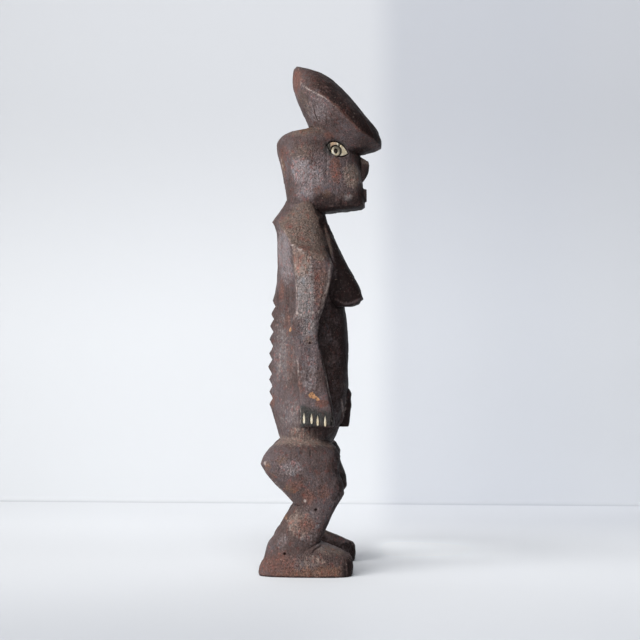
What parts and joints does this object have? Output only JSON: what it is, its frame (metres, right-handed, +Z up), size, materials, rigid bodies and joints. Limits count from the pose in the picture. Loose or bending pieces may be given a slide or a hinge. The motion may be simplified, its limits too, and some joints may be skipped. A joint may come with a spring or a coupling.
{
  "type": "power figure",
  "caption": "Carved wooden standing power figure with bent knees, a toothed spine, a tilted round hat, and bone eyes and nails let into the wood.",
  "frame": {"origin": "on the ground plane under the soles, below the middle of the whole outline in X and Y", "axes": "+Z up the figure, -Y the way its face and toes point, +X its left-hand side and -X its right-hand side"},
  "size_m": [0.0972, 0.0982, 0.4109],
  "materials": {
    "carved_wood": "dark handled patina, satin",
    "inlay": "worn bone, low sheen"
  },
  "bodies": {
    "root": {"carved_figure": "carved_wood", "left_eye_plate": "inlay", "left_eye_ring": "inlay", "left_nail_1": "inlay", "left_nail_2": "inlay", "left_nail_3": "inlay", "left_nail_4": "inlay", "left_nail_5": "inlay", "right_eye_plate": "inlay", "right_eye_ring": "inlay", "right_nail_1": "inlay", "right_nail_2": "inlay", "right_nail_3": "inlay", "right_nail_4": "inlay"}
  },
  "joints": []
}
